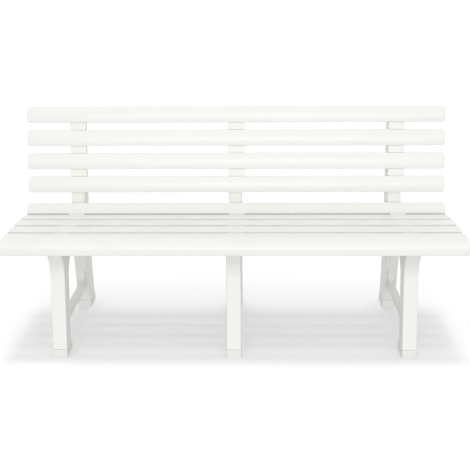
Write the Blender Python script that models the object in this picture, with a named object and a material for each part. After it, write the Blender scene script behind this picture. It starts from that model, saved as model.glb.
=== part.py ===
"""Garden bench of moulded plastic: five seat slats and four back slats screwed to three hollow frames.

Metres, +Z up. The length runs along X, the front faces -Y, and the origin is on the floor under the middle.
Each frame is one hollow moulding, closed below by two foot plugs. Every slat crosses all three frames and is
held by one screw at each, driven from the hidden side.
"""

import math

import bmesh
import bpy
from mathutils import Matrix, Vector

# Overall sizes
BENCH_LENGTH = 1.455
BENCH_DEPTH = 0.490
BENCH_HEIGHT = 0.740
SEAT_HEIGHT = 0.392

# Slats
SLAT_THICKNESS = 0.015
SLAT_WALL = 0.0032
SLAT_CORNER = 0.008
SLAT_END_ROUND = 0.003
SLAT_BOSS_LENGTH = 0.050
SEAT_GAP = 0.016
SEAT_CROWN = 0.0010
SEAT_DISH = 0.0085
SEAT_DISH_START = 0.125
SEAT_SLAT_COUNT = 3
NOSE_DEPTH = 0.080
NOSE_DROP = 0.048
NOSE_SLOPE_RUN = 0.045
NOSE_SLOPE_DROP = 0.014
NOSE_SHOULDER_RADIUS = 0.100
NOSE_RADIUS = 0.020
REAR_SLAT_WIDTH = 0.047
REAR_SLAT_TILT = math.radians(36)
REAR_SLAT_RUN = 0.058
BACK_SLAT_COUNT = 4
BACK_GAP = 0.025
BACK_CROWN = 0.0045
BACK_START = 0.052
BACK_SETBACK = 0.120
BACK_RECLINE = math.radians(9)

# Frames
END_OVERHANG = 0.172
FRAME_WIDTH = 0.046
FRAME_WALL = 0.004
FRAME_EDGE = 0.002
COMB_WIDTH = 0.055
COMB_STEP = 0.001
COMB_DEPTH = 0.012
COMB_RECESS = 0.004
RAIL_DEPTH = 0.068
FRONT_LEG_DEPTH = 0.058
FRONT_LEG_SETBACK = 0.037
FRONT_LEG_LEAN = math.radians(6)
FRONT_ARCH = 0.070
FLARE_HEIGHT = 0.054
FLARE_RADIUS = 0.110
LIP = 0.002
REAR_LEG_DEPTH = 0.078
REAR_LEG_LEAN = math.radians(11)
REAR_ARCH = 0.060
KNEE_DEPTH = 0.090
UPRIGHT_SETBACK = 0.012
UPRIGHT_DEPTH_LOW = 0.074
UPRIGHT_DEPTH_TOP = 0.036
UPRIGHT_TOP_DROP = 0.008
UPRIGHT_TOP_ROUND = 0.004
STRETCHER_HEIGHT = 0.082
STRETCHER_DEPTH = 0.026
STRETCHER_WIDTH = 0.020
GUSSET_HEIGHT = 0.060
GUSSET_LENGTH = 0.034

# Foot plugs
FOOT_HEIGHT = 0.028
FOOT_WIDTH = 0.048
FOOT_TOE = 0.003
FOOT_HEEL = 0.018
FOOT_REAR_HEEL = 0.007
FOOT_CHAMFER = 0.003
SPIGOT_HEIGHT = 0.030

# Screws
SCREW_SHANK_RADIUS = 0.002
SCREW_HEAD_RADIUS = 0.0045
SCREW_HEAD_HEIGHT = 0.0032
SCREW_BITE = 0.009
SCREW_SIDES = 10
DRIVER_POCKET_RADIUS = 0.006
DRIVER_POCKET_REACH = 0.110
POCKET_WALL = 0.0035

# Fits
CLEARANCE = 0.0003
OVERCUT = 0.001
ARC_STEPS = 5
WIDE_ARC_RADIUS = 0.030
WIDE_ARC_STEPS = 12

# Finishes: colour, roughness, metallic
WHITE_PLASTIC = ("white_plastic", (0.86, 0.86, 0.83), 0.32, 0.0)
FOOT_PLASTIC = ("foot_plastic", (0.83, 0.83, 0.80), 0.45, 0.0)
SCREW_STEEL = ("screw_steel", (0.62, 0.62, 0.60), 0.30, 1.0)

FRONT = -BENCH_DEPTH / 2
REAR = BENCH_DEPTH / 2
BACK_AT_SEAT = REAR - BACK_SETBACK
FRAME_CENTRES = {
    "left": -(BENCH_LENGTH / 2 - END_OVERHANG),
    "middle": 0.0,
    "right": BENCH_LENGTH / 2 - END_OVERHANG,
}


# ---------------------------------------------------------------- outlines


def line_meet(a, along_a, b, along_b):
    """The point where two lines in the plane meet."""
    cross = along_a.x * along_b.y - along_a.y * along_b.x
    if abs(cross) < 1e-9:
        return b.copy()
    step = ((b.x - a.x) * along_b.y - (b.y - a.y) * along_b.x) / cross
    return a + along_a * step


def turning(corners):
    """+1 for an outline that runs anticlockwise, -1 for a clockwise one."""
    area = 0.0
    for (x0, y0, _), (x1, y1, _) in zip(corners, corners[1:] + corners[:1]):
        area += x0 * y1 - x1 * y0
    return 1 if area > 0 else -1


def inset(corners, distance):
    """Corners (y, z, radius) of a closed outline, every side moved inwards by a distance."""
    side = turning(corners)
    points = [Vector((y, z)) for y, z, _ in corners]
    count = len(points)
    moved = []
    for i, (point, corner) in enumerate(zip(points, corners)):
        before = (point - points[i - 1]).normalized()
        after = (points[(i + 1) % count] - point).normalized()
        shift_before = Vector((-before.y, before.x)) * side * distance
        shift_after = Vector((-after.y, after.x)) * side * distance
        place = line_meet(point + shift_before, before, point + shift_after, after)
        bulges = (before.x * after.y - before.y * after.x) * side > 0
        radius = corner[2]
        if radius > 0:
            radius = max(radius - distance, 0.0002) if bulges else radius + distance
        moved.append((place.x, place.y, radius))
    return moved


def rounded(corners, steps=ARC_STEPS):
    """The outline's points, with an arc of its own radius at each corner that has one."""
    points = [Vector((y, z)) for y, z, _ in corners]
    count = len(points)
    outline = []
    for i, (point, corner) in enumerate(zip(points, corners)):
        radius = corner[2]
        if radius <= 0:
            outline.append(point)
            continue
        to_last = points[i - 1] - point
        to_next = points[(i + 1) % count] - point
        half = to_last.angle(to_next) / 2
        reach = min(radius / math.tan(half), 0.49 * to_last.length, 0.49 * to_next.length)
        radius = reach * math.tan(half)
        middle = (to_last.normalized() + to_next.normalized()).normalized()
        centre = point + middle * (radius / math.sin(half))
        start = point + to_last.normalized() * reach - centre
        end = point + to_next.normalized() * reach - centre
        sweep = start.angle_signed(end)
        parts = WIDE_ARC_STEPS if corner[2] > WIDE_ARC_RADIUS else steps
        for k in range(parts + 1):
            turned = Matrix.Rotation(-sweep * k / parts, 2) @ start
            outline.append(centre + turned)
    return outline


def offset_path(points, distance):
    """An open run of points moved sideways, to the right of its direction for a positive distance."""
    moved = []
    for i, point in enumerate(points):
        before = (point - points[i - 1]).normalized() if i else None
        after = (points[i + 1] - point).normalized() if i + 1 < len(points) else None
        before = before or after
        after = after or before
        start = point + Vector((before.y, -before.x)) * distance
        end = point + Vector((after.y, -after.x)) * distance
        moved.append(line_meet(start, before, end, after))
    return moved


# ------------------------------------------------------------------ meshes


def link(name, mesh):
    piece = bpy.data.objects.new(name, mesh)
    bpy.context.collection.objects.link(piece)
    return piece


def loft(name, layers):
    """A closed body through layers of points, each layer with the same number of points."""
    mesh = bpy.data.meshes.new(name)
    body = bmesh.new()
    rings = [[body.verts.new(point) for point in layer] for layer in layers]
    count = len(rings[0])
    for low, high in zip(rings, rings[1:]):
        for i in range(count):
            j = (i + 1) % count
            body.faces.new((low[i], low[j], high[j], high[i]))
    body.faces.new(list(reversed(rings[0])))
    body.faces.new(rings[-1])
    bmesh.ops.recalc_face_normals(body, faces=body.faces)
    body.to_mesh(mesh)
    body.free()
    return link(name, mesh)


def plate(name, corners, x_low, x_high, edge=0.0, steps=ARC_STEPS):
    """An outline in the YZ plane given a width along X, its rims chamfered by edge."""
    layers = []
    stations = [(x_low, edge), (x_low + edge, 0.0), (x_high - edge, 0.0), (x_high, edge)]
    if edge == 0:
        stations = [(x_low, 0.0), (x_high, 0.0)]
    for x, inwards in stations:
        outline = rounded(inset(corners, inwards) if inwards else corners, steps)
        layers.append([(x, point.x, point.y) for point in outline])
    return loft(name, layers)


def rod(name, start, end, radius, sides=SCREW_SIDES):
    """A round bar between two points."""
    axis = end - start
    turn = axis.to_track_quat("Z", "Y").to_matrix().to_4x4()
    body = bmesh.new()
    bmesh.ops.create_cone(
        body,
        cap_ends=True,
        segments=sides,
        radius1=radius,
        radius2=radius,
        depth=axis.length,
        matrix=Matrix.Translation((start + end) / 2) @ turn,
    )
    mesh = bpy.data.meshes.new(name)
    body.to_mesh(mesh)
    body.free()
    return link(name, mesh)


def combine(target, tools, operation):
    """Applies each tool to the target with an exact Boolean, and removes the tool."""
    for tool in tools:
        change = target.modifiers.new(tool.name, "BOOLEAN")
        change.operation = operation
        change.solver = "EXACT"
        change.object = tool
        shape = bpy.data.meshes.new_from_object(
            target.evaluated_get(bpy.context.evaluated_depsgraph_get())
        )
        target.modifiers.clear()
        target.data = shape
        bpy.data.objects.remove(tool)
    return target


def finish(piece, finish_values, smooth=True):
    """Gives the piece its own Principled material and smooth shading broken at sharp edges."""
    kind, colour, roughness, metallic = finish_values
    material = bpy.data.materials.new(piece.name + "_" + kind)
    material.use_nodes = True
    shader = material.node_tree.nodes["Principled BSDF"]
    shader.inputs["Base Color"].default_value = (*colour, 1.0)
    shader.inputs["Roughness"].default_value = roughness
    shader.inputs["Metallic"].default_value = metallic
    piece.data.materials.clear()
    piece.data.materials.append(material)
    if smooth:
        piece.data.shade_smooth()
        piece.data.set_sharp_from_angle(angle=math.radians(35))
    return piece


# ------------------------------------------------------------- side layout


def back_face(z):
    """Y of the back slats' front plane at a height."""
    return BACK_AT_SEAT + (z - SEAT_HEIGHT) * math.tan(BACK_RECLINE)


def seat_dip(y):
    """How far the seat's surface lies below the seat height."""
    start = -SEAT_DISH_START
    end = BACK_AT_SEAT - REAR_SLAT_RUN
    share = max(y - start, 0.0) / (end - start)
    return SEAT_DISH * share**2


def seat_face(y):
    return SEAT_HEIGHT - seat_dip(y)


def slat_places():
    """Every flat slat as name, middle of its face (y, z), turn about X, width, crown and screw turn."""
    places = []
    first = FRONT + NOSE_DEPTH + SEAT_GAP
    last = BACK_AT_SEAT - REAR_SLAT_RUN
    width = (last - first - (SEAT_SLAT_COUNT - 1) * SEAT_GAP) / SEAT_SLAT_COUNT
    for i in range(SEAT_SLAT_COUNT):
        low = first + i * (width + SEAT_GAP)
        high = low + width
        tilt = math.atan2(seat_face(high) - seat_face(low), width)
        face = ((low + high) / 2, (seat_face(low) + seat_face(high)) / 2)
        places.append((f"seat_slat_{i + 1}", face, tilt, width, SEAT_CROWN, tilt))

    along = Vector((math.cos(REAR_SLAT_TILT), math.sin(REAR_SLAT_TILT)))
    start = Vector((last + SEAT_GAP, seat_face(last)))
    middle = start + along * REAR_SLAT_WIDTH / 2
    places.append(
        ("seat_slat_rear", tuple(middle), REAR_SLAT_TILT, REAR_SLAT_WIDTH, SEAT_CROWN, 0.0)
    )

    turn = math.pi / 2 - BACK_RECLINE
    low = SEAT_HEIGHT + BACK_START
    high = BENCH_HEIGHT + (BACK_CROWN + SLAT_END_ROUND) * math.sin(BACK_RECLINE)
    span = (high - low) / math.cos(BACK_RECLINE)
    width = (span - (BACK_SLAT_COUNT - 1) * BACK_GAP) / BACK_SLAT_COUNT
    for i in range(BACK_SLAT_COUNT):
        along = i * (width + BACK_GAP) + width / 2
        z = high - along * math.cos(BACK_RECLINE)
        places.append((f"back_slat_{i + 1}", (back_face(z), z), turn, width, BACK_CROWN, turn))
    return places


def outward(turn):
    """The direction that a slat with this turn faces, in the YZ plane."""
    return Vector((0.0, -math.sin(turn), math.cos(turn)))


def screw_line(face, turn, screw_turn):
    """Where a screw's line crosses the slat's hidden side, and the direction the screw is driven."""
    middle = Vector((0.0, *face))
    return middle - outward(turn) * SLAT_THICKNESS, outward(screw_turn)


def screw_lines():
    """The screw line of every slat, the front one's going up the hollow of the front leg."""
    nose_screw = Vector((0.0, front_leg_face(SEAT_HEIGHT) + FRONT_LEG_DEPTH / 2, 0.0))
    nose_screw.z = SEAT_HEIGHT - SLAT_THICKNESS
    lines = {"seat_slat_front": (nose_screw, outward(0.0))}
    for name, face, turn, _, _, screw_turn in slat_places():
        lines[name] = screw_line(face, turn, screw_turn)
    return lines


def front_leg_face(z):
    """Y of the front leg's front face, which leans forward towards the floor."""
    height = SEAT_HEIGHT - NOSE_DROP
    return FRONT + FRONT_LEG_SETBACK - (height - z) * math.tan(FRONT_LEG_LEAN)


def rear_leg_face(z):
    """Y of the rear leg's front face, which leans back towards the floor."""
    return REAR - FOOT_REAR_HEEL - REAR_LEG_DEPTH - (z - FOOT_HEIGHT) * math.tan(REAR_LEG_LEAN)


# ------------------------------------------------------------------- slats


def flat_section(width, crown, side_in, face_in, below=0.0):
    """A slat's cross-section (across, out), crowned on its face and flat or open behind."""
    half = width / 2 - side_in
    top = SLAT_THICKNESS - face_in
    shoulder = top - crown
    corner = max(SLAT_END_ROUND - face_in, SLAT_END_ROUND / 4)
    rim = [(half, -below), (half, shoulder - corner)]
    face = []
    for k in range(ARC_STEPS + 1):
        share = 1 - 2 * k / ARC_STEPS
        face.append(((half - corner) * share, top - crown * share**2))
    return rim + face + [(-y, z) for y, z in reversed(rim)]


def nose_section(side_in, face_in, below=0.0):
    """The front slat's cross-section: a top, a slope rolling into a drop, as corners (y, z, radius)."""
    slope = math.atan2(NOSE_SLOPE_DROP, NOSE_SLOPE_RUN)
    back = FRONT + NOSE_DEPTH - side_in
    top = SEAT_HEIGHT - face_in
    shoulder = FRONT + NOSE_SLOPE_RUN + face_in * math.tan(slope / 2)
    front = FRONT + face_in
    brow = SEAT_HEIGHT - NOSE_SLOPE_DROP - face_in * math.tan(math.pi / 4 - slope / 2)
    bottom = SEAT_HEIGHT - NOSE_DROP + side_in
    under = SEAT_HEIGHT - SLAT_THICKNESS - below
    behind = FRONT + SLAT_THICKNESS + below
    corner = max(SLAT_END_ROUND - face_in, SLAT_END_ROUND / 4)
    return [
        (back, under, 0),
        (back, top, corner),
        (shoulder, top, NOSE_SHOULDER_RADIUS - face_in),
        (front, brow, NOSE_RADIUS - face_in),
        (front, bottom, corner),
        (behind, bottom, 0),
        (behind, under, 0),
    ]


def end_stations():
    """Stations along half a slat with how far its sides and face draw in towards the rounded end."""
    stations = []
    steps = 3
    for k in range(steps + 1):
        angle = math.pi / 2 * k / steps
        x = BENCH_LENGTH / 2 - SLAT_CORNER * (1 - math.sin(angle))
        draw = 1 - math.cos(angle)
        stations.append((x, SLAT_CORNER * draw, SLAT_END_ROUND * draw))
    return stations


def bays():
    """The hollow stretches of a slat, between its closed ends and the solid blocks over the frames."""
    half = SLAT_BOSS_LENGTH / 2
    stops = [-BENCH_LENGTH / 2 + SLAT_CORNER]
    for centre in FRAME_CENTRES.values():
        stops += [centre - half, centre + half]
    stops.append(BENCH_LENGTH / 2 - SLAT_CORNER)
    return list(zip(stops[0::2], stops[1::2]))


def slat_body(name, section):
    """A slat along X from its section, hollow behind except over the frames. section(side, face, below)"""
    stations = end_stations()
    mirrored = [(-x, side, face) for x, side, face in reversed(stations)]
    layers = []
    for x, side, face in mirrored + stations:
        layers.append([(x, y, z) for y, z in section(side, face, 0.0)])
    body = loft(name, layers)
    hollow = section(SLAT_WALL, SLAT_WALL, OVERCUT)
    cuts = []
    for low, high in bays():
        ends = [[(x, y, z) for y, z in hollow] for x in (low, high)]
        cuts.append(loft("bay", ends))
    return combine(body, cuts, "DIFFERENCE")


def make_slats():
    for name, face, turn, width, crown, screw_turn in slat_places():
        body = slat_body(
            name, lambda side, inwards, below: flat_section(width, crown, side, inwards, below)
        )
        seat_point, driven = screw_line(face, turn, screw_turn)
        body.data.transform(
            Matrix.Translation(Vector((0.0, *face)) - outward(turn) * SLAT_THICKNESS)
            @ Matrix.Rotation(turn, 4, "X")
        )
        drill_slat(body, seat_point, driven)
        finish(body, WHITE_PLASTIC)

    nose = slat_body(
        "seat_slat_front",
        lambda side, inwards, below: [tuple(p) for p in rounded(nose_section(side, inwards, below))],
    )
    drill_slat(nose, *screw_lines()["seat_slat_front"])
    finish(nose, WHITE_PLASTIC)


def drill_slat(body, seat_point, driven):
    """Blind holes for the screws, one over each frame."""
    holes = []
    for centre in FRAME_CENTRES.values():
        mouth = seat_point + Vector((centre, 0.0, 0.0))
        start = mouth - driven * DRIVER_POCKET_RADIUS
        end = mouth + driven * (SCREW_BITE + CLEARANCE)
        holes.append(rod("hole", start, end, SCREW_SHANK_RADIUS + CLEARANCE))
    combine(body, holes, "DIFFERENCE")


# ------------------------------------------------------------------ frames


def seat_path():
    """Points of the seat's surface from behind the front slat's drop to the top of the rear slat."""
    last = BACK_AT_SEAT - REAR_SLAT_RUN + SEAT_GAP / 2
    start = FRONT + SLAT_THICKNESS
    ys = [start, -SEAT_DISH_START]
    steps = 4
    ys += [-SEAT_DISH_START + (last + SEAT_DISH_START) * k / steps for k in range(1, steps + 1)]
    points = [Vector((y, seat_face(y))) for y in ys]
    along = Vector((math.cos(REAR_SLAT_TILT), math.sin(REAR_SLAT_TILT)))
    points.append(points[-1] + along * REAR_SLAT_WIDTH)
    return points


def frame_corners():
    """The frame's side outline, from the front foot up, along the seat, up and down to the rear foot."""
    leg_end = FOOT_HEIGHT + CLEARANCE
    nose_bottom = SEAT_HEIGHT - NOSE_DROP - CLEARANCE
    knee = nose_bottom - FLARE_HEIGHT
    under_rail = SEAT_HEIGHT - SLAT_THICKNESS - RAIL_DEPTH
    shelf_back = FRONT + SLAT_THICKNESS + CLEARANCE
    corners = [
        (front_leg_face(leg_end), leg_end, 0),
        (front_leg_face(knee), knee, FLARE_RADIUS),
        (FRONT + LIP, nose_bottom, 0),
        (shelf_back, nose_bottom, 0),
    ]
    seat = offset_path(seat_path(), SLAT_THICKNESS + COMB_DEPTH / 2)
    seat[0].x = shelf_back
    corners += [(point.x, point.y, 0) for point in seat]

    top = BENCH_HEIGHT - UPRIGHT_TOP_DROP
    low = SEAT_HEIGHT + BACK_START / 2
    upright_low = back_face(low) + UPRIGHT_SETBACK
    upright_top = back_face(top) + UPRIGHT_SETBACK
    rail_rear = rear_leg_face(under_rail)
    corners += [
        (upright_low, low, 0),
        (upright_top, top, UPRIGHT_TOP_ROUND),
        (upright_top + UPRIGHT_DEPTH_TOP, top, 3 * UPRIGHT_TOP_ROUND),
        (upright_low + UPRIGHT_DEPTH_LOW, low, RAIL_DEPTH),
        (rail_rear + KNEE_DEPTH, under_rail, RAIL_DEPTH),
        (rear_leg_face(leg_end) + REAR_LEG_DEPTH, leg_end, 0),
        (rear_leg_face(leg_end), leg_end, 0),
        (rail_rear, under_rail, REAR_ARCH),
        (front_leg_face(under_rail) + FRONT_LEG_DEPTH, under_rail, FRONT_ARCH),
        (front_leg_face(leg_end) + FRONT_LEG_DEPTH, leg_end, 0),
    ]
    return corners


def strip_corners(path):
    """A strip below a run of face points: the comb whose teeth stand between the slats."""
    top = offset_path(path, COMB_RECESS)
    bottom = offset_path(path, SLAT_THICKNESS + COMB_DEPTH)
    return [(p.x, p.y, 0) for p in top] + [(p.x, p.y, 0) for p in reversed(bottom)]


def comb_paths():
    back_low = SEAT_HEIGHT + BACK_START + SLAT_CORNER
    back_high = BENCH_HEIGHT - UPRIGHT_TOP_DROP - UPRIGHT_TOP_ROUND
    back = [Vector((back_face(z), z)) for z in (back_low, back_high)]
    seat = seat_path()
    seat[-1] = seat[-2].lerp(seat[-1], 0.8)
    return seat, back


def stretcher_corners():
    """The low rail between the legs, with a curved gusset up the rear leg."""
    low = STRETCHER_HEIGHT
    high = STRETCHER_HEIGHT + STRETCHER_DEPTH
    tip = high + GUSSET_HEIGHT
    inside = FRAME_WALL / 2
    front_low = front_leg_face(low) + FRONT_LEG_DEPTH - inside
    front_high = front_leg_face(high) + FRONT_LEG_DEPTH - inside
    return [
        (front_low, low, 0),
        (front_high, high, 0),
        (rear_leg_face(high) - GUSSET_LENGTH, high, 0),
        (rear_leg_face(high) - GUSSET_LENGTH / 3, high + GUSSET_LENGTH / 3, GUSSET_LENGTH),
        (rear_leg_face(tip) + inside / 2, tip, 0),
        (rear_leg_face(low) + inside, low, 0),
    ]


def notch(face, turn, width):
    """The space a flat slat takes in the comb, open towards its face."""
    half = width / 2 + CLEARANCE
    reach = COMB_WIDTH
    layers = []
    for x in (-reach, reach):
        low = -CLEARANCE
        high = SLAT_THICKNESS + OVERCUT
        layers.append([(x, -half, low), (x, half, low), (x, half, high), (x, -half, high)])
    space = loft("notch", layers)
    space.data.transform(
        Matrix.Translation(Vector((0.0, *face)) - outward(turn) * SLAT_THICKNESS)
        @ Matrix.Rotation(turn, 4, "X")
    )
    return space


def nose_notch():
    """The space the front slat takes: above the rail and in front of it."""
    back = FRONT + NOSE_DEPTH + CLEARANCE
    floor = SEAT_HEIGHT - SLAT_THICKNESS - CLEARANCE
    shelf = SEAT_HEIGHT - NOSE_DROP - CLEARANCE
    face = FRONT + SLAT_THICKNESS + CLEARANCE
    high = SEAT_HEIGHT + OVERCUT
    ahead = FRONT - OVERCUT
    corners = [(back, floor), (back, high), (ahead, high), (ahead, shelf), (face, shelf), (face, floor)]
    return plate("notch", [(y, z, 0) for y, z in corners], -COMB_WIDTH, COMB_WIDTH)


def make_frame(name, centre):
    """One frame about its own middle plane, its comb wider on the right, then moved in place."""
    half = FRAME_WIDTH / 2
    outline = frame_corners()
    frame = plate(name, outline, -half, half, FRAME_EDGE)

    core = plate("core", inset(outline, FRAME_WALL), FRAME_WALL - half, half - FRAME_WALL, steps=3)
    opening_low = FOOT_HEIGHT - OVERCUT
    opening_high = FOOT_HEIGHT + 2 * FRAME_WALL
    mouths = []
    for leg_face, depth in ((front_leg_face, FRONT_LEG_DEPTH), (rear_leg_face, REAR_LEG_DEPTH)):
        corners = []
        for z, step in ((opening_low, 0.0), (opening_high, 0.0)):
            corners.append((leg_face(z) + FRAME_WALL, z, step))
        for z, step in ((opening_high, 0.0), (opening_low, 0.0)):
            corners.append((leg_face(z) + depth - FRAME_WALL, z, step))
        mouths.append(plate("mouth", corners, FRAME_WALL - half, half - FRAME_WALL))
    tubes = []
    pockets = []
    for slat, (seat_point, driven) in screw_lines().items():
        head_seat = seat_point - driven * COMB_DEPTH
        far = head_seat - driven * DRIVER_POCKET_REACH
        if slat != "seat_slat_front":
            radius = DRIVER_POCKET_RADIUS + POCKET_WALL
            tubes.append(rod("tube", far, seat_point, radius))
            pockets.append(rod("pocket", far, head_seat, DRIVER_POCKET_RADIUS))
        else:
            below = head_seat - driven * COMB_DEPTH
            pockets.append(rod("pocket", below, head_seat, DRIVER_POCKET_RADIUS))
        hole_start = head_seat - driven * OVERCUT
        hole_end = seat_point + driven * OVERCUT
        pockets.append(rod("hole", hole_start, hole_end, SCREW_SHANK_RADIUS + CLEARANCE))
    combine(core, tubes, "DIFFERENCE")
    combine(frame, [core, *mouths], "DIFFERENCE")

    low = COMB_STEP - half
    high = low + COMB_WIDTH
    additions = [plate("comb", strip_corners(path), low, high) for path in comb_paths()]
    rail = STRETCHER_WIDTH / 2
    additions.append(plate("stretcher", stretcher_corners(), -rail, rail))
    combine(frame, additions, "UNION")

    notches = [nose_notch()]
    for _, face, turn, width, _, _ in slat_places():
        notches.append(notch(face, turn, width))
    combine(frame, notches + pockets, "DIFFERENCE")
    frame.location.x = centre
    return finish(frame, WHITE_PLASTIC)


# -------------------------------------------------------------------- feet


def make_foot(name, centre, leg_face, depth, toe, heel):
    """A foot block with a spigot that plugs the leg's hollow, following the leg's lean."""
    front = leg_face(FOOT_HEIGHT) - toe
    back = leg_face(FOOT_HEIGHT) + depth + heel
    block = [
        (front, 0.0, 0),
        (back, 0.0, 0),
        (back, FOOT_HEIGHT, 0),
        (front, FOOT_HEIGHT, 0),
    ]
    half = FOOT_WIDTH / 2
    foot = plate(name, block, -half, half, FOOT_CHAMFER)
    gap = FRAME_WALL + CLEARANCE
    low = FOOT_HEIGHT - OVERCUT
    high = FOOT_HEIGHT + SPIGOT_HEIGHT
    spigot = [
        (leg_face(low) + gap, low, 0),
        (leg_face(high) + gap, high, 0),
        (leg_face(high) + depth - gap, high, 0),
        (leg_face(low) + depth - gap, low, 0),
    ]
    plug_half = FRAME_WIDTH / 2 - gap
    combine(foot, [plate("spigot", spigot, -plug_half, plug_half)], "UNION")
    foot.location.x = centre
    return finish(foot, FOOT_PLASTIC)


# ------------------------------------------------------------------ screws


def screw_mesh():
    """A pan-head screw along +Z, its head's underside at the origin."""
    length = COMB_DEPTH + SCREW_BITE
    profile = [
        (0.0, -SCREW_HEAD_HEIGHT),
        (SCREW_HEAD_RADIUS * 0.7, -SCREW_HEAD_HEIGHT),
        (SCREW_HEAD_RADIUS, -SCREW_HEAD_HEIGHT * 0.5),
        (SCREW_HEAD_RADIUS, 0.0),
        (SCREW_SHANK_RADIUS, 0.0),
        (SCREW_SHANK_RADIUS, length - 2 * SCREW_SHANK_RADIUS),
        (0.0, length),
    ]
    body = bmesh.new()
    points = [body.verts.new((radius, 0.0, z)) for radius, z in profile]
    edges = [body.edges.new(pair) for pair in zip(points, points[1:])]
    bmesh.ops.spin(
        body,
        geom=points + edges,
        axis=(0, 0, 1),
        cent=(0, 0, 0),
        angle=2 * math.pi,
        steps=SCREW_SIDES,
        use_merge=True,
    )
    bmesh.ops.remove_doubles(body, verts=body.verts, dist=1e-6)
    bmesh.ops.recalc_face_normals(body, faces=body.faces)
    mesh = bpy.data.meshes.new("screw")
    body.to_mesh(mesh)
    body.free()
    return mesh


def make_screws():
    mesh = screw_mesh()
    for slat, (seat_point, driven) in screw_lines().items():
        for side, centre in FRAME_CENTRES.items():
            screw = link(f"screw_{slat}_{side}", mesh)
            head_seat = seat_point - driven * (COMB_DEPTH + CLEARANCE)
            screw.location = head_seat + Vector((centre, 0.0, 0.0))
            screw.rotation_mode = "QUATERNION"
            screw.rotation_quaternion = driven.to_track_quat("Z", "Y")
            finish(screw, SCREW_STEEL)


def main():
    for old in list(bpy.data.objects):
        bpy.data.objects.remove(old)
    make_slats()
    for side, centre in FRAME_CENTRES.items():
        make_frame(f"frame_{side}", centre)
        make_foot(
            f"foot_front_{side}", centre, front_leg_face, FRONT_LEG_DEPTH, FOOT_TOE, FOOT_HEEL
        )
        make_foot(
            f"foot_rear_{side}", centre, rear_leg_face, REAR_LEG_DEPTH, 0.0, FOOT_REAR_HEEL
        )
    make_screws()


main()
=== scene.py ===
"""Looks of a moulded plastic garden bench, built around its CAD frame.

Nine hollow-backed slats, three frames, six foot plugs and the screws that hold them, with
their finishes, and a white studio. Every place and overall size is read from the CAD nodes;
the settings hold the mouldings' own details.
"""

import math

import bmesh
import bpy
import numpy
from bpy.props import FloatProperty, FloatVectorProperty, IntProperty, PointerProperty
from mathutils import Matrix, Vector


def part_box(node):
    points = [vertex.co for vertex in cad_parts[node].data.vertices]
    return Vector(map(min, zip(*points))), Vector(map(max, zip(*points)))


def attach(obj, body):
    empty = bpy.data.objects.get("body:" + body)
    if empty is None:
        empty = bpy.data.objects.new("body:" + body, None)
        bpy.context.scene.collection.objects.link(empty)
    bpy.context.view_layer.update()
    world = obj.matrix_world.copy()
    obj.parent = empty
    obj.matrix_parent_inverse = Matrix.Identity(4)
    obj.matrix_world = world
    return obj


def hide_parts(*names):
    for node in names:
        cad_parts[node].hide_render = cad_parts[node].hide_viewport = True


bl_info = {
    "name": "Garden Bench",
    "version": (1, 0, 0),
    "blender": (4, 5, 0),
    "location": "3D View > Sidebar > Bench",
    "description": "Builds a moulded garden bench's slats, frames, feet and screws around its CAD frame",
    "category": "Add Mesh",
}

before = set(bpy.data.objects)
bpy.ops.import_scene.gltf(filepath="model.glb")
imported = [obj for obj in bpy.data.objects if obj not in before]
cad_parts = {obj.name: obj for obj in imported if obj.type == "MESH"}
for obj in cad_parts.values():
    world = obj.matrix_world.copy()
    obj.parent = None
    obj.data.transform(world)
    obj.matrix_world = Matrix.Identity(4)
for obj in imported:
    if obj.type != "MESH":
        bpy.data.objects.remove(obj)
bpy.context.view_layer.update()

BODY = "root"
SIDES = ("left", "middle", "right")
SEAT_SLATS = ("seat_slat_1", "seat_slat_2", "seat_slat_3")
BACK_SLATS = ("back_slat_1", "back_slat_2", "back_slat_3", "back_slat_4")


# ---------------------------------------------------------------- settings


def length(name, description, default, top=1.0):
    """A length setting in metres."""
    return FloatProperty(
        name=name,
        description=description,
        default=default,
        min=0.0,
        max=top,
        precision=4,
        subtype="DISTANCE",
        unit="LENGTH",
    )


def share(name, description, default):
    """A setting from 0 to 1."""
    return FloatProperty(
        name=name, description=description, default=default, min=0.0, max=1.0, subtype="FACTOR"
    )


def colour(name, description, default):
    """A colour setting."""
    return FloatVectorProperty(
        name=name,
        description=description,
        default=default,
        size=3,
        min=0.0,
        max=1.0,
        subtype="COLOR",
    )


class BenchSlatSettings(bpy.types.PropertyGroup):
    """Section and hollow back of the slats."""

    seat_crown: length("Seat crown", "Rise of a seat slat's face at its middle", 0.0010)
    back_crown: length("Back crown", "Rise of a back slat's face at its middle", 0.0045)
    edge_radius: length("Edge radius", "Round along a slat's long edges", 0.0022)
    top_roll: length("Top roll", "Round along the upper edge of the top slat", 0.0100)
    rim_radius: length("Rim radius", "Round along the rim of the hollow side", 0.0008)
    end_corner: length("End corner", "Round at a slat's corners, seen from its face", 0.0080)
    end_round: length("End round", "Round over a slat's end, seen from its side", 0.0036)
    wall: length("Wall", "Thickness of the moulding", 0.0032)
    rib: length("Rib", "Thickness of the stiffening ribs", 0.0022)
    rib_pitch: length("Rib pitch", "Distance between the cross ribs", 0.0840)
    boss: length("Boss", "Length of the solid block over each frame", 0.0500)
    nose_slope_run: length("Nose slope run", "Depth of the slope ahead of the front slat's top", 0.0450)
    nose_slope_drop: length("Nose slope drop", "Fall of that slope towards the front", 0.0140)
    nose_shoulder: length("Nose shoulder", "Round from the front slat's top into its slope", 0.1000)
    nose_radius: length("Nose radius", "Round from the slope into the front slat's drop", 0.0200)
    nose_thickness: length("Nose thickness", "Thickness of the front slat's two legs", 0.0150)


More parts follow.
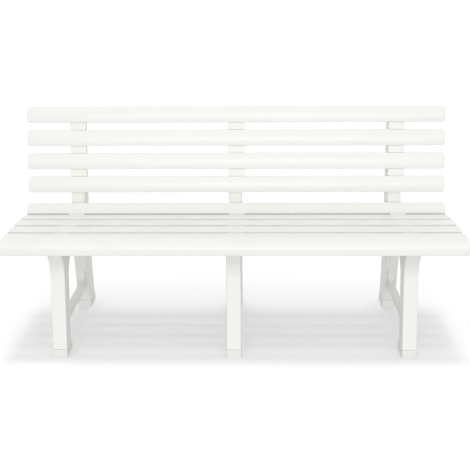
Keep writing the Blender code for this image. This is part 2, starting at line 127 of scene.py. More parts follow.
class BenchFrameSettings(bpy.types.PropertyGroup):
    """Frames and foot plugs."""

    edge_softness: length("Edge softness", "Round on the frames' moulded edges", 0.0008)
    foot_softness: length("Foot softness", "Round on the foot plugs' edges", 0.0007)
    edge_steps: IntProperty(
        name="Edge steps", description="Facets in each rounded edge", default=2, min=1, max=6
    )


class BenchScrewSettings(bpy.types.PropertyGroup):
    """Pan-head screws."""

    dome: share("Dome", "How much of the head's height is domed", 0.60)
    recess_span: length("Recess span", "Length of the driver recess's arms", 0.0044)
    recess_width: length("Recess width", "Width of the driver recess's arms", 0.0010)
    recess_depth: length("Recess depth", "Depth of the driver recess", 0.0016)
    thread_pitch: length("Thread pitch", "Distance between turns of the thread", 0.0016)
    thread_height: length("Thread height", "Height of the thread over the core", 0.0004)


class BenchFinishSettings(bpy.types.PropertyGroup):
    """Colours and gloss."""

    slat_colour: colour("Slat plastic", "Colour of the slats", (0.800, 0.803, 0.772))
    frame_colour: colour("Frame plastic", "Colour of the frames", (0.785, 0.788, 0.757))
    foot_colour: colour("Foot plastic", "Colour of the foot plugs", (0.765, 0.768, 0.742))
    steel_colour: colour("Screw steel", "Colour of the zinc-plated screws", (0.62, 0.62, 0.60))
    slat_roughness: share("Slat roughness", "How matt the slats are", 0.32)
    frame_roughness: share("Frame roughness", "How matt the frames are", 0.38)
    foot_roughness: share("Foot roughness", "How matt the foot plugs are", 0.50)
    grain: length("Grain", "Size of the moulding's fine grain", 0.0010)
    scuff: share("Scuff", "How far the plastic greys where it meets the ground", 0.10)


class BenchStudioSettings(bpy.types.PropertyGroup):
    """White studio and camera."""

    floor_radius: length("Floor radius", "Radius of the round floor", 60.0, top=200.0)
    floor_colour: colour("Floor", "Colour of the floor", (0.30, 0.30, 0.30))
    floor_glow: FloatProperty(
        name="Floor glow",
        description="Light that comes up through the floor, which keeps the bench's shadow pale",
        default=0.46,
        min=0.0,
        max=2.0,
    )
    room_light: FloatProperty(
        name="Room light", description="Even light from all round", default=1.08, min=0.0, max=5.0
    )
    ceiling_light: FloatProperty(
        name="Ceiling light",
        description="Light from overhead, as a share of the room light",
        default=0.98,
        min=0.0,
        max=2.0,
    )
    ground_light: FloatProperty(
        name="Ground light",
        description="Light from the floor ahead and behind, as a share of the room light",
        default=1.10,
        min=0.0,
        max=2.0,
    )
    side_light: FloatProperty(
        name="Side light",
        description="Light from the floor at the sides and underneath, as a share of the room light",
        default=0.26,
        min=0.0,
        max=2.0,
    )
    front_light: FloatProperty(
        name="Front light",
        description="Power of the soft light in front of the bench",
        default=94.0,
        min=0.0,
        subtype="POWER",
        unit="POWER",
    )
    floor_light: FloatProperty(
        name="Floor light",
        description="Strength of the overhead light that draws the bench's shadow on the floor",
        default=1.8,
        min=0.0,
    )
    floor_fill: FloatProperty(
        name="Floor fill",
        description="Strength of the wider overhead light, which carries the shadow to the rear",
        default=1.0,
        min=0.0,
    )
    camera_place: FloatVectorProperty(
        name="Camera place",
        description="Where the camera stands",
        default=(0.0577, -2.6587, 1.2145),
        size=3,
        subtype="TRANSLATION",
        unit="LENGTH",
    )
    camera_turn: FloatVectorProperty(
        name="Camera turn",
        description="Pitch below the horizon, turn to the left and roll",
        default=(math.radians(13.531), math.radians(1.192), math.radians(-0.402)),
        size=3,
        subtype="EULER",
        unit="ROTATION",
    )
    camera_lens: FloatProperty(
        name="Lens",
        description="Focal length for a 36 mm wide sensor",
        default=63.32,
        min=1.0,
        subtype="DISTANCE_CAMERA",
    )
    camera_shift: FloatProperty(
        name="Shift", description="Upward shift of the lens", default=-0.1490, min=-1.0, max=1.0
    )


# -------------------------------------------------------------- shader maths


class Wire:
    """A socket in a material's node tree that takes part in ordinary arithmetic."""

    def __init__(self, tree, socket=None):
        self.tree = tree
        self.socket = socket

    def add(self, kind, settings=None, inputs=None, output=0):
        """Adds a node, its settings first and then its sockets, and returns one of its outputs."""
        node = self.tree.nodes.new(kind)
        for name, value in (settings or {}).items():
            if name == "stops":
                ramp = node.color_ramp.elements
                while len(ramp) < len(value):
                    ramp.new(0.5)
                for stop, (place, tone) in zip(ramp, value):
                    stop.position = place
                    stop.color = (tone, tone, tone, 1.0)
            else:
                setattr(node, name, value)
        for name, value in (inputs or {}).items():
            if isinstance(value, Wire):
                self.tree.links.new(value.socket, node.inputs[name])
            else:
                node.inputs[name].default_value = value
        return Wire(self.tree, node.outputs[output])

    def combine(self, operation, left, right):
        """One step of arithmetic, through the node that suits what the sockets carry."""
        kinds = [side.socket.type for side in (left, right) if isinstance(side, Wire)]
        if "RGBA" in kinds:
            blend = {"ADD": "ADD", "SUBTRACT": "SUBTRACT", "MULTIPLY": "MULTIPLY"}[operation]
            sides = {0: 1.0, 6: left, 7: right}
            settings = {"data_type": "RGBA", "blend_type": blend}
            return self.add("ShaderNodeMix", settings, sides, output=2)
        kind = "ShaderNodeVectorMath" if "VECTOR" in kinds else "ShaderNodeMath"
        return self.add(kind, {"operation": operation}, {0: left, 1: right})

    def __add__(self, other):
        return self.combine("ADD", self, other)

    def __radd__(self, other):
        return self.combine("ADD", other, self)

    def __sub__(self, other):
        return self.combine("SUBTRACT", self, other)

    def __rsub__(self, other):
        return self.combine("SUBTRACT", other, self)

    def __mul__(self, other):
        return self.combine("MULTIPLY", self, other)

    def __rmul__(self, other):
        return self.combine("MULTIPLY", other, self)

    def blend(self, first, second):
        """A colour between two, by this value."""
        sides = {0: self, 6: first, 7: second}
        return self.add("ShaderNodeMix", {"data_type": "RGBA"}, sides, output=2)

    def between(self, low, high):
        """This value from 0 at low to 1 at high."""
        return self.add(
            "ShaderNodeMapRange", {"clamp": True}, {0: self, 1: low, 2: high, 3: 0.0, 4: 1.0}
        )

    def noise(self, scale, detail=2.0, roughness=0.5):
        """Noise over this position."""
        inputs = {"Vector": self, "Scale": scale, "Detail": detail, "Roughness": roughness}
        return self.add("ShaderNodeTexNoise", None, inputs)

    def bump(self, height, distance):
        """A normal raised by this height over one that may come from another bump."""
        inputs = {"Height": height, "Distance": distance, "Strength": 1.0}
        if self.socket is not None:
            inputs["Normal"] = self
        return self.add("ShaderNodeBump", None, inputs)


def new_finish(name, colour_value, roughness, metallic=0.0):
    """A material, its Principled shader and a start for its shader maths."""
    material = bpy.data.materials.new(name)
    material.use_nodes = True
    material.diffuse_color = (*colour_value, 1.0)
    shader = material.node_tree.nodes["Principled BSDF"]
    shader.inputs["Base Color"].default_value = (*colour_value, 1.0)
    shader.inputs["Roughness"].default_value = roughness
    shader.inputs["Metallic"].default_value = metallic
    return material, shader, Wire(material.node_tree)


def connect(wire, shader, socket):
    wire.tree.links.new(wire.socket, shader.inputs[socket])


def moulded_plastic(name, colour_value, roughness, ground=0.0):
    """Satin polypropylene: faint flow marks along the moulding, fine grain and uneven gloss."""
    finish = bpy.context.scene.bench_finish
    material, shader, start = new_finish(name, colour_value, roughness)
    place = start.add("ShaderNodeTexCoord", output=3)
    piece = start.add("ShaderNodeObjectInfo", output=5)
    spread = place + start.add("ShaderNodeCombineXYZ", None, {0: piece * 7.0, 1: piece * 3.0})

    flow = (spread * (1.0, 9.0, 9.0)).noise(5.0, 3.0)
    cloud = spread.noise(9.0, 4.0, 0.6)
    grain = spread.noise(1.0 / finish.grain, 2.0)
    tone = flow.between(0.30, 0.70) * 0.5 + cloud.between(0.35, 0.65) * 0.5

    pale = tuple(min(1.0, value * 1.008) for value in colour_value)
    deep = tuple(value * shade for value, shade in zip(colour_value, (0.985, 0.983, 0.975)))
    surface = tone.blend((*deep, 1.0), (*pale, 1.0))
    gloss = roughness - 0.035 + tone * 0.05 + grain * 0.04
    if ground > 0:
        height = place.add("ShaderNodeSeparateXYZ", None, {0: place}, output=2)
        splash = (1.0 - height.between(0.0, 0.055)) * cloud.between(0.30, 0.75) * ground
        surface = splash.blend(surface, (0.42, 0.39, 0.34, 1.0))
        gloss = gloss + splash * 0.30
    connect(surface, shader, "Base Color")
    connect(gloss, shader, "Roughness")
    relief = start.bump(flow, 0.00030).bump(grain, 0.00003)
    connect(relief, shader, "Normal")
    shader.inputs["IOR"].default_value = 1.49
    return material


def zinc_steel(name, colour_value):
    """Bright zinc plate with cloudy patches and fine turning marks."""
    material, shader, start = new_finish(name, colour_value, 0.3, 1.0)
    place = start.add("ShaderNodeTexCoord", output=3)
    cloud = place.noise(420.0, 3.0, 0.6)
    marks = (place * (1.0, 1.0, 6.0)).noise(2600.0, 2.0)
    warm = (0.66, 0.63, 0.54, 1.0)
    connect(cloud.between(0.40, 0.75).blend((*colour_value, 1.0), warm), shader, "Base Color")
    connect(0.22 + cloud * 0.20, shader, "Roughness")
    connect(start.bump(marks, 0.00004), shader, "Normal")
    return material


# ------------------------------------------------------------------- meshes


def node_points(node):
    """A CAD node's vertices as rows of x, y, z."""
    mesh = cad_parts[node].data
    points = numpy.zeros(len(mesh.vertices) * 3)
    mesh.vertices.foreach_get("co", points)
    return numpy.unique(points.reshape(-1, 3).round(6), axis=0)


def spread_axes(points):
    """The directions in which points spread, the least first."""
    return numpy.linalg.eigh(numpy.cov((points - points.mean(0)).T))[1].T


def slat_seating(node):
    """A flat slat's size, and the matrix from (along, across, out) on its hidden side to its place."""
    points = node_points(node)
    end = points[points[:, 0] > points[:, 0].max() - 1e-5]
    across = spread_axes(end[:, 1:])[1]
    across = across if across[0] > 0 else -across
    out = numpy.array((-across[1], across[0]))
    reach = points[:, 1:] @ across
    rise = points[:, 1:] @ out
    middle = across * (reach.min() + reach.max()) / 2 + out * rise.min()
    size = Vector((numpy.ptp(points[:, 0]), numpy.ptp(reach), numpy.ptp(rise)))
    seat = Matrix(
        (
            (1.0, 0.0, 0.0, (points[:, 0].min() + points[:, 0].max()) / 2),
            (0.0, across[0], out[0], middle[0]),
            (0.0, across[1], out[1], middle[1]),
            (0.0, 0.0, 0.0, 1.0),
        )
    )
    return size, seat


def frame_centres():
    """X of each frame's middle plane, which its screws stand on."""
    centres = []
    for side in SIDES:
        low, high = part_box(f"screw_seat_slat_front_{side}")
        centres.append((low.x + high.x) / 2)
    return centres


def loft(layers):
    """A closed mesh through layers of points, each layer with the same number of points."""
    body = bmesh.new()
    add_loft(body, layers)
    return body


def add_loft(body, layers):
    rings = [[body.verts.new(point) for point in layer] for layer in layers]
    count = len(rings[0])
    made = []
    for low, high in zip(rings, rings[1:]):
        for i in range(count):
            j = (i + 1) % count
            made.append(body.faces.new((low[i], low[j], high[j], high[i])))
    made.append(body.faces.new(list(reversed(rings[0]))))
    made.append(body.faces.new(rings[-1]))
    bmesh.ops.recalc_face_normals(body, faces=made)


def to_mesh(body, name):
    mesh = bpy.data.meshes.new(name)
    body.to_mesh(mesh)
    body.free()
    return mesh


def cut(body, tools, name):
    """The body with the tools cut from it, as a mesh."""
    target = bpy.data.objects.new(name, to_mesh(body, name))
    tool = bpy.data.objects.new(name + "_cut", to_mesh(tools, name + "_cut"))
    for piece in (target, tool):
        bpy.context.scene.collection.objects.link(piece)
    change = target.modifiers.new("Cut", "BOOLEAN")
    change.operation = "DIFFERENCE"
    change.solver = "EXACT"
    change.object = tool
    shape = bpy.data.meshes.new_from_object(
        target.evaluated_get(bpy.context.evaluated_depsgraph_get())
    )
    shape.name = name
    for piece in (target, tool):
        spent = piece.data
        bpy.data.objects.remove(piece)
        bpy.data.meshes.remove(spent)
    return shape


def soften(mesh, angle=35.0):
    mesh.shade_smooth()
    mesh.set_sharp_from_angle(angle=math.radians(angle))


def place_piece(name, mesh, node, material, seat=None):
    """Puts a piece in the scene for a CAD node, its place in its own mesh as in the node's."""
    if seat is not None:
        mesh = mesh.copy()
        mesh.transform(seat)
    piece = bpy.data.objects.new(name, mesh)
    bpy.context.scene.collection.objects.link(piece)
    if material.name not in mesh.materials:
        mesh.materials.clear()
        mesh.materials.append(material)
    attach(piece, BODY)
    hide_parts(node)
    return piece


def arc(centre, radius, start, end, steps):
    """Points on an arc, its angles in radians."""
    points = []
    for k in range(steps + 1):
        angle = start + (end - start) * k / steps
        points.append(centre + Vector((math.cos(angle), math.sin(angle))) * radius)
    return points


def rounded(corners, steps):
    """An outline with an arc of its own radius at each corner (y, z, radius)."""
    count = len(corners)
    outline = []
    for i, (y, z, radius) in enumerate(corners):
        point = Vector((y, z))
        if radius <= 0:
            outline.append(point)
            continue
        to_last = (Vector(corners[i - 1][:2]) - point).normalized()
        to_next = (Vector(corners[(i + 1) % count][:2]) - point).normalized()
        half = to_last.angle(to_next) / 2
        centre = point + (to_last + to_next).normalized() * (radius / math.sin(half))
        start = point + to_last * (radius / math.tan(half)) - centre
        sweep = start.angle_signed(point + to_next * (radius / math.tan(half)) - centre)
        for k in range(steps + 1):
            outline.append(centre + Matrix.Rotation(-sweep * k / steps, 2) @ start)
    return outline


# -------------------------------------------------------------------- slats

RIM_STEPS = 3
EDGE_STEPS = 7
FACE_STEPS = 16
ROOF_STEPS = 6
NOSE_STEPS = 9
CUT_PAST = 0.001
HOLLOW_EDGE = 0.001
INNER_CORNER = 0.004


def end_stations(size_x, corner, end_round, steps=9):
    """Stations over the slat with how far its sides and its face draw in at the rounded ends."""
    half = []
    for k in range(steps + 1):
        angle = math.pi / 2 * k / steps
        draw = 1 - math.cos(angle)
        half.append((size_x / 2 - corner * (1 - math.sin(angle)), corner * draw, end_round * draw))
    return [(-x, side, face) for x, side, face in reversed(half)] + half


def slat_outline(size, crown, edges, rim, side_in, face_in):
    """A flat slat's section (across, out): its rims, rounded edges and crowned face."""
    full = size.y / 2
    half = full - side_in
    top = size.z - face_in

    def face(across):
        return top - crown * (across / full) ** 2

    def shoulder(radius):
        across = half - radius
        for _ in range(5):
            tilt = math.atan(2 * crown * across / full**2)
            across = half - radius * (1 - math.sin(tilt))
        return across, tilt, Vector((half - radius, face(across) - radius * math.cos(tilt)))

    outline = arc(Vector((half - rim, rim)), rim, -math.pi / 2, 0.0, RIM_STEPS)
    ends = []
    for radius in edges:
        across, tilt, centre = shoulder(radius)
        ends.append((across, arc(centre, radius, 0.0, math.pi / 2 - tilt, EDGE_STEPS)))
    outline += ends[0][1]
    for k in range(1, FACE_STEPS):
        across = ends[0][0] + (-ends[1][0] - ends[0][0]) * k / FACE_STEPS
        outline.append(Vector((across, face(across))))
    outline += [Vector((-point.x, point.y)) for point in reversed(ends[1][1])]
    left = arc(Vector((half - rim, rim)), rim, -math.pi / 2, 0.0, RIM_STEPS)
    return outline + [Vector((-point.x, point.y)) for point in reversed(left)]


def slat_bays(size_x, corner, boss, centre_x):
    """The hollow stretches of a slat, between its ends and the solid blocks over the frames."""
    stops = [-size_x / 2 + corner]
    for centre in frame_centres():
        stops += [centre - centre_x - boss / 2, centre - centre_x + boss / 2]
    stops.append(size_x / 2 - corner)
    return list(zip(stops[0::2], stops[1::2]))


def flat_slat(name, size, crown, edges, centre_x, sheets):
    """A flat slat: a crowned skin with rounded ends, and cells between ribs behind it."""
    look = bpy.context.scene.bench_slats
    layers = []
    for x, side_in, face_in in end_stations(size.x, look.end_corner, look.end_round):
        outline = slat_outline(size, crown, edges, look.rim_radius, side_in, face_in)
        layers.append([(x, point.x, point.y) for point in outline])
    body = loft(layers)

    inner = size.y / 2 - look.wall
    bounds = [-inner]
    for k in range(1, sheets):
        middle = -inner + 2 * inner * k / sheets
        bounds += [middle - look.rib / 2, middle + look.rib / 2]
    bounds.append(inner)
    cells = bmesh.new()
    for low, high in slat_bays(size.x, look.end_corner, look.boss, centre_x):
        count = max(1, round((high - low) / look.rib_pitch))
        cell = (high - low - (count - 1) * look.rib) / count
        for k in range(count):
            start = low + k * (cell + look.rib)
            for left, right in zip(bounds[0::2], bounds[1::2]):
                roof = []
                for step in range(ROOF_STEPS + 1):
                    across = right + (left - right) * step / ROOF_STEPS
                    roof.append((across, size.z - look.wall - crown * (2 * across / size.y) ** 2))
                section = [(left, -CUT_PAST), (right, -CUT_PAST), *roof]
                add_loft(cells, [[(x, y, z) for y, z in section] for x in (start, start + cell)])
    mesh = cut(body, cells, name)
    soften(mesh)
    return mesh


def nose_outline(side_in, face_in, below=0.0, edge=None):
    """The front slat's section: a top, a slope rolling forwards and a drop in front of the frames."""
    look = bpy.context.scene.bench_slats
    low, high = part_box("seat_slat_front")
    edge = look.edge_radius if edge is None else edge
    slope = math.atan2(look.nose_slope_drop, look.nose_slope_run)
    top = high.z - face_in
    front = low.y + face_in
    shoulder = low.y + look.nose_slope_run + face_in * math.tan(slope / 2)
    brow = high.z - look.nose_slope_drop - face_in * math.tan(math.pi / 4 - slope / 2)
    corners = [
        (high.y - side_in, high.z - look.nose_thickness - below, look.rim_radius),
        (high.y - side_in, top, edge),
        (shoulder, top, look.nose_shoulder - face_in),
        (front, brow, look.nose_radius - face_in),
        (front, low.z + side_in, edge),
        (low.y + look.nose_thickness + below, low.z + side_in, look.rim_radius),
        (low.y + look.nose_thickness + below, high.z - look.nose_thickness - below, INNER_CORNER),
    ]
    return rounded(corners, NOSE_STEPS)


class BENCH_OT_front_slat(bpy.types.Operator):
    """Builds the front slat with its rolled edge and open hollow"""

    bl_idname = "bench.front_slat"
    bl_label = "Front Slat"

    def execute(self, context):
        look = context.scene.bench_slats
        low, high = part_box("seat_slat_front")
        middle = (low.x + high.x) / 2
        layers = []
        for x, side_in, face_in in end_stations(high.x - low.x, look.end_corner, look.end_round):
            layers.append([(middle + x, p.x, p.y) for p in nose_outline(side_in, face_in)])
        body = loft(layers)
        hollow = nose_outline(look.wall, look.wall, CUT_PAST, HOLLOW_EDGE)
        cells = bmesh.new()
        for start, stop in slat_bays(high.x - low.x, look.end_corner, look.boss, middle):
            ends = (middle + start, middle + stop)
            add_loft(cells, [[(x, p.x, p.y) for p in hollow] for x in ends])
        mesh = cut(body, cells, "front_slat")
        soften(mesh)
        place_piece("front_slat", mesh, "seat_slat_front", slat_plastic())
        return {"FINISHED"}


class BENCH_OT_seat_slats(bpy.types.Operator):
    """Builds the three flat seat slats and the tilted slat behind them"""

    bl_idname = "bench.seat_slats"
    bl_label = "Seat Slats"

    def execute(self, context):
        look = context.scene.bench_slats
        edges = (look.edge_radius, look.edge_radius)
        size, seat = slat_seating(SEAT_SLATS[0])
        mesh = flat_slat("seat_slat", size, look.seat_crown, edges, seat.translation.x, 2)
        for node in SEAT_SLATS:
            seat = slat_seating(node)[1]
            place_piece(node + "_skin", mesh, node, slat_plastic(), seat)
        node = "seat_slat_rear"
        size, seat = slat_seating(node)
        mesh = flat_slat("rear_slat", size, look.seat_crown, edges, seat.translation.x, 1)
        place_piece(node + "_skin", mesh, node, slat_plastic(), seat)
        return {"FINISHED"}


class BENCH_OT_back_slats(bpy.types.Operator):
    """Builds the four crowned back slats, the top one with a rolled upper edge"""

    bl_idname = "bench.back_slats"
    bl_label = "Back Slats"

    def execute(self, context):
        look = context.scene.bench_slats
        edge = look.edge_radius
        meshes = {}
        for node in BACK_SLATS:
            size, seat = slat_seating(node)
            upper = look.top_roll if node == BACK_SLATS[0] else edge
            if upper not in meshes:
                meshes[upper] = flat_slat(
                    "back_slat", size, look.back_crown, (upper, edge), seat.translation.x, 2
                )
            mesh = meshes[upper]
            place_piece(node + "_skin", mesh, node, slat_plastic(), seat)
        return {"FINISHED"}


# --------------------------------------------------------- frames and feet

MERGE_DISTANCE = 1e-5
FLAT_ANGLE = math.radians(0.6)
SHARP_ANGLE = math.radians(30)


def merged_moulding(node, name):
    """A CAD node's shape with its flat facets merged and its arcs shaded smooth."""
    body = bmesh.new()
    body.from_mesh(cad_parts[node].data)
    bmesh.ops.remove_doubles(body, verts=body.verts, dist=MERGE_DISTANCE)
    bmesh.ops.dissolve_limit(
        body, angle_limit=FLAT_ANGLE, verts=body.verts, edges=body.edges
    )
    for edge in body.edges:
        edge.smooth = True
    mesh = to_mesh(body, name)
    mesh.materials.clear()
    mesh.shade_smooth()
    return mesh


def add_soft_edges(piece, softness, steps):
    """Rounds the piece's sharp edges and keeps its flats flat."""
    bevel = piece.modifiers.new("Soft edges", "BEVEL")
    bevel.width = softness
    bevel.segments = steps
    bevel.limit_method = "ANGLE"
    bevel.angle_limit = SHARP_ANGLE
    bevel.use_clamp_overlap = False
    bevel.harden_normals = False
    normals = piece.modifiers.new("Flats", "WEIGHTED_NORMAL")
    normals.weight = 80
    normals.keep_sharp = True


class BENCH_OT_frames(bpy.types.Operator):
    """Builds the three frames: legs, seat rail, upright, comb and low rail in one moulding each"""

    bl_idname = "bench.frames"
    bl_label = "Frames"

    def execute(self, context):
        look = context.scene.bench_frames
        for side in SIDES:
            node = f"frame_{side}"
            mesh = merged_moulding(node, node + "_moulding")
            piece = place_piece(node + "_moulding", mesh, node, frame_plastic())
            add_soft_edges(piece, look.edge_softness, look.edge_steps)
        return {"FINISHED"}


class BENCH_OT_feet(bpy.types.Operator):
    """Builds the six plugs that close the legs and stand on the ground"""

    bl_idname = "bench.feet"
    bl_label = "Feet"

    def execute(self, context):
        look = context.scene.bench_frames
        for end in ("front", "rear"):
            for side in SIDES:
                node = f"foot_{end}_{side}"
                mesh = merged_moulding(node, node + "_plug")
                piece = place_piece(node + "_plug", mesh, node, foot_plastic())
                add_soft_edges(piece, look.foot_softness, look.edge_steps)
        return {"FINISHED"}


# ------------------------------------------------------------------- screws


def screw_seating(node):
    """A screw's length, and the matrix from its head's crown along its shank to its place."""
    points = node_points(node)
    along = spread_axes(points)[2]
    middle = points.mean(0)
    reach = (points - middle) @ along
    width = numpy.linalg.norm((points - middle) - numpy.outer(reach, along), axis=1)
    if reach[width.argmax()] > 0:
        along = -along
        reach = -reach
    head = Vector(middle + along * reach.min())
    seat = Vector(along).to_track_quat("Z", "Y").to_matrix().to_4x4()
    return numpy.ptp(reach), width.max(), Matrix.Translation(head) @ seat


def screw_mesh(size_z, head_radius):
    """A pan-head screw along +Z from its crown, with a cross recess and a threaded shank."""
    look = bpy.context.scene.bench_screws
    head_height = 0.0032
    core = 0.0016
    plain_neck = 0.001
    plain_end = 0.004
    tip = 0.0032
    dome_steps = 8
    dome_power = 0.6
    dome = head_height * look.dome
    profile = [(0.0, 0.0)]
    for k in range(1, dome_steps + 1):
        angle = math.pi / 2 * k / dome_steps
        radius = head_radius * math.sin(angle) ** dome_power
        profile.append((radius, dome * (1 - math.cos(angle))))
    profile += [(head_radius, head_height), (core, head_height)]
    z = head_height + plain_neck
    while z < size_z - plain_end:
        profile += [(core, z), (core + look.thread_height, z + look.thread_pitch * 0.35)]
        profile.append((core, z + look.thread_pitch * 0.7))
        z += look.thread_pitch
    profile += [(core, size_z - tip), (0.0, size_z)]
    body = bmesh.new()
    points = [body.verts.new((radius, 0.0, height)) for radius, height in profile]
    edges = [body.edges.new(pair) for pair in zip(points, points[1:])]
    bmesh.ops.spin(
        body,
        geom=points + edges,
        axis=(0, 0, 1),
        cent=(0, 0, 0),
        angle=2 * math.pi,
        steps=24,
        use_merge=True,
    )
    bmesh.ops.remove_doubles(body, verts=body.verts, dist=1e-6)
    bmesh.ops.recalc_face_normals(body, faces=body.faces)

    arms = bmesh.new()
    long_half = look.recess_span / 2
    short_half = look.recess_width / 2
    plus = [
        (long_half, -short_half),
        (long_half, short_half),
        (short_half, short_half),
        (short_half, long_half),
        (-short_half, long_half),
        (-short_half, short_half),
        (-long_half, short_half),
        (-long_half, -short_half),
        (-short_half, -short_half),
        (-short_half, -long_half),
        (short_half, -long_half),
        (short_half, -short_half),
    ]
    add_loft(
        arms,
        [
            [(x * 1.05, y * 1.05, -0.0005) for x, y in plus],
            [(x * 0.75, y * 0.75, look.recess_depth) for x, y in plus],
        ],
    )
    mesh = cut(body, arms, "pan_head_screw")
    soften(mesh)
    return mesh


class BENCH_OT_screws(bpy.types.Operator):
    """Builds the screws that hold each slat to each frame"""

    bl_idname = "bench.screws"
    bl_label = "Screws"

    def execute(self, context):
        mesh = None
        for node in sorted(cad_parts):
            if not node.startswith("screw_"):
                continue
            size_z, head_radius, seat = screw_seating(node)
            if mesh is None:
                mesh = screw_mesh(size_z, head_radius)
            place_piece(node + "_zinc", mesh, node, screw_steel(), seat)
        return {"FINISHED"}


# ----------------------------------------------------------------- finishes


def kept(name, make):
    """The material of that name, made once."""
    return bpy.data.materials.get(name) or make()


def slat_plastic():
    look = bpy.context.scene.bench_finish
    name = "slat_polypropylene"
    return kept(name, lambda: moulded_plastic(name, look.slat_colour, look.slat_roughness))


def frame_plastic():
    look = bpy.context.scene.bench_finish
    name = "frame_polypropylene"
    return kept(
        name, lambda: moulded_plastic(name, look.frame_colour, look.frame_roughness, look.scuff)
    )


def foot_plastic():
    look = bpy.context.scene.bench_finish
    name = "foot_polypropylene"
    return kept(
        name, lambda: moulded_plastic(name, look.foot_colour, look.foot_roughness, look.scuff)
    )


def screw_steel():
    look = bpy.context.scene.bench_finish
    return kept("screw_zinc", lambda: zinc_steel("screw_zinc", look.steel_colour))


# -------------------------------------------------------------------- stage

FLOOR_SIDES = 96
HORIZON_BAND = (-0.06, -0.02)
CEILING_BAND = (0.25, 0.55)
SOFTBOX_SIZE = (4.0, 1.0)
SOFTBOX_PLACE = (0.25, -7.0, 0.8)
SOFTBOX_AIM = (0.0, 0.0, 0.4)
OVERHEAD_LIGHT = {"spread": 10.0, "lean": -5.0}
OVERHEAD_FILL = {"spread": 26.0, "lean": 12.0}
SENSOR_WIDTH = 36.0
FAR_CLIP = 400.0


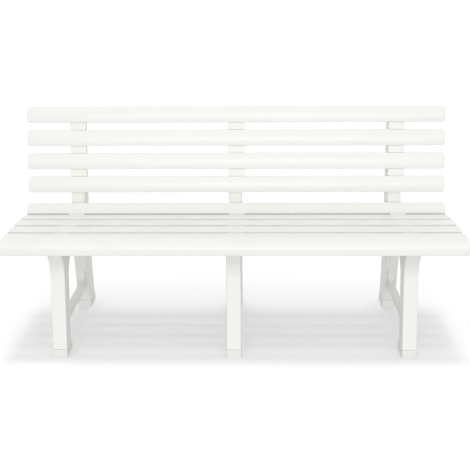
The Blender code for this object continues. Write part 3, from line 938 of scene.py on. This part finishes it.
class BENCH_OT_studio(bpy.types.Operator):
    """Sets up the white floor, the soft lights and the camera"""

    bl_idname = "bench.studio"
    bl_label = "Studio"

    def execute(self, context):
        look = context.scene.bench_studio
        floor = self.add_floor(context, look)
        self.add_room_light(context, look)
        self.add_front_light(context, look)
        self.add_floor_lights(context, look, floor)
        self.add_camera(context, look)
        context.scene.view_settings.view_transform = "Standard"
        context.scene.view_settings.look = "None"
        return {"FINISHED"}

    def add_floor(self, context, look):
        disc = bmesh.new()
        bmesh.ops.create_circle(disc, cap_ends=True, segments=FLOOR_SIDES, radius=look.floor_radius)
        floor = bpy.data.objects.new("studio_floor", to_mesh(disc, "studio_floor"))
        context.scene.collection.objects.link(floor)
        material, shader, _ = new_finish("studio_floor", look.floor_colour, 0.9)
        shader.inputs["Specular IOR Level"].default_value = 0.0
        shader.inputs["Emission Color"].default_value = (1.0, 1.0, 1.0, 1.0)
        shader.inputs["Emission Strength"].default_value = look.floor_glow
        floor.data.materials.append(material)
        floor.visible_diffuse = False
        return floor

    def add_room_light(self, context, look):
        world = bpy.data.worlds.new("studio_room")
        world.use_nodes = True
        start = Wire(world.node_tree)
        towards = start.add("ShaderNodeTexCoord", output=0)
        rise = start.add("ShaderNodeSeparateXYZ", None, {0: towards}, output=2)
        ahead = start.add("ShaderNodeSeparateXYZ", None, {0: towards}, output=1)
        ground = look.side_light + ahead * ahead * (look.ground_light - look.side_light)
        wall = ground + rise.between(*HORIZON_BAND) * (1.0 - ground)
        light = wall + rise.between(*CEILING_BAND) * (look.ceiling_light - 1.0)
        room = world.node_tree.nodes["Background"]
        room.inputs["Color"].default_value = (1.0, 1.0, 1.0, 1.0)
        world.node_tree.links.new((light * look.room_light).socket, room.inputs["Strength"])
        context.scene.world = world

    def add_front_light(self, context, look):
        lamp = bpy.data.lights.new("front_softbox", "AREA")
        lamp.shape = "RECTANGLE"
        lamp.size, lamp.size_y = SOFTBOX_SIZE
        lamp.energy = look.front_light
        softbox = bpy.data.objects.new("front_softbox", lamp)
        softbox.location = SOFTBOX_PLACE
        aim = Vector(SOFTBOX_AIM) - softbox.location
        softbox.rotation_euler = aim.to_track_quat("-Z", "Y").to_euler()
        context.scene.collection.objects.link(softbox)

    def add_floor_lights(self, context, look, floor):
        lit = bpy.data.collections.new("lit_from_overhead")
        lit.objects.link(floor)
        for name, strength, form in (
            ("overhead_light", look.floor_light, OVERHEAD_LIGHT),
            ("overhead_fill", look.floor_fill, OVERHEAD_FILL),
        ):
            lamp = bpy.data.lights.new(name, "SUN")
            lamp.energy = strength
            lamp.angle = math.radians(form["spread"])
            sun = bpy.data.objects.new(name, lamp)
            sun.rotation_euler = (math.radians(form["lean"]), 0.0, 0.0)
            context.scene.collection.objects.link(sun)
            sun.light_linking.receiver_collection = lit

    def add_camera(self, context, look):
        camera = bpy.data.cameras.new("studio_camera")
        camera.lens = look.camera_lens
        camera.sensor_width = SENSOR_WIDTH
        camera.shift_y = look.camera_shift
        camera.clip_end = FAR_CLIP
        viewer = bpy.data.objects.new("studio_camera", camera)
        pitch, turn, roll = look.camera_turn
        viewer.matrix_world = (
            Matrix.Translation(look.camera_place)
            @ Matrix.Rotation(turn, 4, "Z")
            @ Matrix.Rotation(math.pi / 2 - pitch, 4, "X")
            @ Matrix.Rotation(roll, 4, "Z")
        )
        context.scene.collection.objects.link(viewer)
        context.scene.camera = viewer


# -------------------------------------------------------------------- panel


class BENCH_PT_sidebar(bpy.types.Panel):
    """Bench settings and steps"""

    bl_idname = "BENCH_PT_sidebar"
    bl_label = "Garden Bench"
    bl_space_type = "VIEW_3D"
    bl_region_type = "UI"
    bl_category = "Bench"

    def draw(self, context):
        for kind, group, operators in STEPS:
            box = self.layout.box()
            settings = getattr(context.scene, group)
            for name in kind.__annotations__:
                box.prop(settings, name)
            for operator in operators:
                box.operator(operator.bl_idname)


STEPS = (
    (BenchFinishSettings, "bench_finish", ()),
    (
        BenchSlatSettings,
        "bench_slats",
        (BENCH_OT_front_slat, BENCH_OT_seat_slats, BENCH_OT_back_slats),
    ),
    (BenchFrameSettings, "bench_frames", (BENCH_OT_frames, BENCH_OT_feet)),
    (BenchScrewSettings, "bench_screws", (BENCH_OT_screws,)),
    (BenchStudioSettings, "bench_studio", (BENCH_OT_studio,)),
)


def register():
    for kind, group, operators in STEPS:
        bpy.utils.register_class(kind)
        setattr(bpy.types.Scene, group, PointerProperty(type=kind))
        for operator in operators:
            bpy.utils.register_class(operator)
    bpy.utils.register_class(BENCH_PT_sidebar)


def unregister():
    bpy.utils.unregister_class(BENCH_PT_sidebar)
    for kind, group, operators in reversed(STEPS):
        for operator in reversed(operators):
            bpy.utils.unregister_class(operator)
        delattr(bpy.types.Scene, group)
        bpy.utils.unregister_class(kind)


def main():
    register()
    bpy.ops.bench.front_slat()
    bpy.ops.bench.seat_slats()
    bpy.ops.bench.back_slats()
    bpy.ops.bench.frames()
    bpy.ops.bench.feet()
    bpy.ops.bench.screws()
    bpy.ops.bench.studio()


if __name__ == "__main__":
    main()
